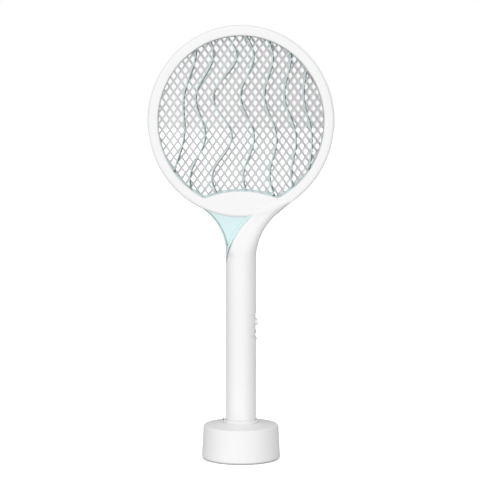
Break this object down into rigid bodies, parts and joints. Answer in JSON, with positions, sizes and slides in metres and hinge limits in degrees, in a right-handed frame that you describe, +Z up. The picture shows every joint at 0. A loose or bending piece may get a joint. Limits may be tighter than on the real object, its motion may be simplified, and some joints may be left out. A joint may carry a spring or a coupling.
{
  "type": "electric fly swatter",
  "caption": "Racket-shaped electric fly swatter with layered wire mesh, flowing mint ribs and a round grip that lifts out of a charging base.",
  "frame": {"origin": "centre of the charging base's underside, on the surface that it stands on", "axes": "+Z up along the grip, -Y out of the swatter's front face, +X towards the side with the push button"},
  "size_m": [0.215, 0.0914, 0.5031],
  "materials": {
    "white_shell": "satin gloss moulded ABS",
    "mint_plastic": "satin gloss moulded ABS",
    "mesh_metal": "bright drawn wire",
    "foot_rubber": "matt",
    "ballast_steel": "zinc grey",
    "screw_steel": "plated",
    "contact_brass": "plated",
    "board_green": "solder mask",
    "dark_plastic": "fine spark texture",
    "light_clear": "clear",
    "cell_wrap": "shrink sleeve",
    "coil_tape": "polyester tape",
    "capacitor_red": "dipped epoxy",
    "resistor_body": "lacquer",
    "lead_red": "PVC",
    "lead_black": "PVC"
  },
  "bodies": {
    "base": {"base_shell": "white_shell", "base_top": "white_shell", "dock_socket": "white_shell", "base_plate": "white_shell", "foot_ring": "foot_rubber", "base_ballast": "ballast_steel", "base_board": "board_green", "usb_inlet": "screw_steel", "pin_carrier": "dark_plastic", "pin_barrels": "contact_brass", "base_light_pipe": "light_clear", "base_screws": "screw_steel"},
    "contact_pins": {"contact_pins": "contact_brass"},
    "swatter": {"front_frame": "white_shell", "rear_frame": "white_shell", "front_guard_mesh": "mesh_metal", "front_rib_frame": "mint_plastic", "inner_mesh": "mesh_metal", "rear_rib_frame": "mint_plastic", "rear_guard_mesh": "mesh_metal", "neck_insert": "mint_plastic", "handle_front_shell": "white_shell", "handle_rear_shell": "white_shell", "handle_end_cap": "white_shell", "charge_pads": "contact_brass", "battery_cell": "cell_wrap", "battery_cradle": "dark_plastic", "battery_contact": "screw_steel", "battery_spring": "screw_steel", "main_board": "board_green", "transformer": "coil_tape", "hv_capacitors": "capacitor_red", "bleed_resistor": "resistor_body", "switch_board": "board_green", "push_switch": "dark_plastic", "slide_switch": "dark_plastic", "switch_panel": "white_shell", "indicator_light": "light_clear", "mesh_leads": "lead_red", "battery_leads": "lead_black", "charge_leads": "lead_red", "frame_screws": "screw_steel", "handle_screws": "screw_steel"},
    "trigger": {"trigger_button": "white_shell", "switch_plunger": "dark_plastic"},
    "slider": {"mode_slider": "dark_plastic"}
  },
  "joints": [
    {"name": "lift_off", "type": "slide", "parent": "base", "child": "swatter", "axis": [0, 0, 1], "range_m": [0, 0.06]},
    {"name": "pin_rise", "type": "slide", "parent": "base", "child": "contact_pins", "axis": [0, 0, 1], "range_m": [0, 0.0012]},
    {"name": "trigger_press", "type": "slide", "parent": "swatter", "child": "trigger", "axis": [-1, 0, 0], "range_m": [0, 0.0008], "stiffness_N_per_m": 1500, "springref_m": -0.001},
    {"name": "mode_slide", "type": "slide", "parent": "swatter", "child": "slider", "axis": [0, 0, 1], "range_m": [-0.002, 0.002]}
  ],
  "couplings": [
    {"joint": "pin_rise", "follows": "lift_off", "ratio": 0.02}
  ]
}
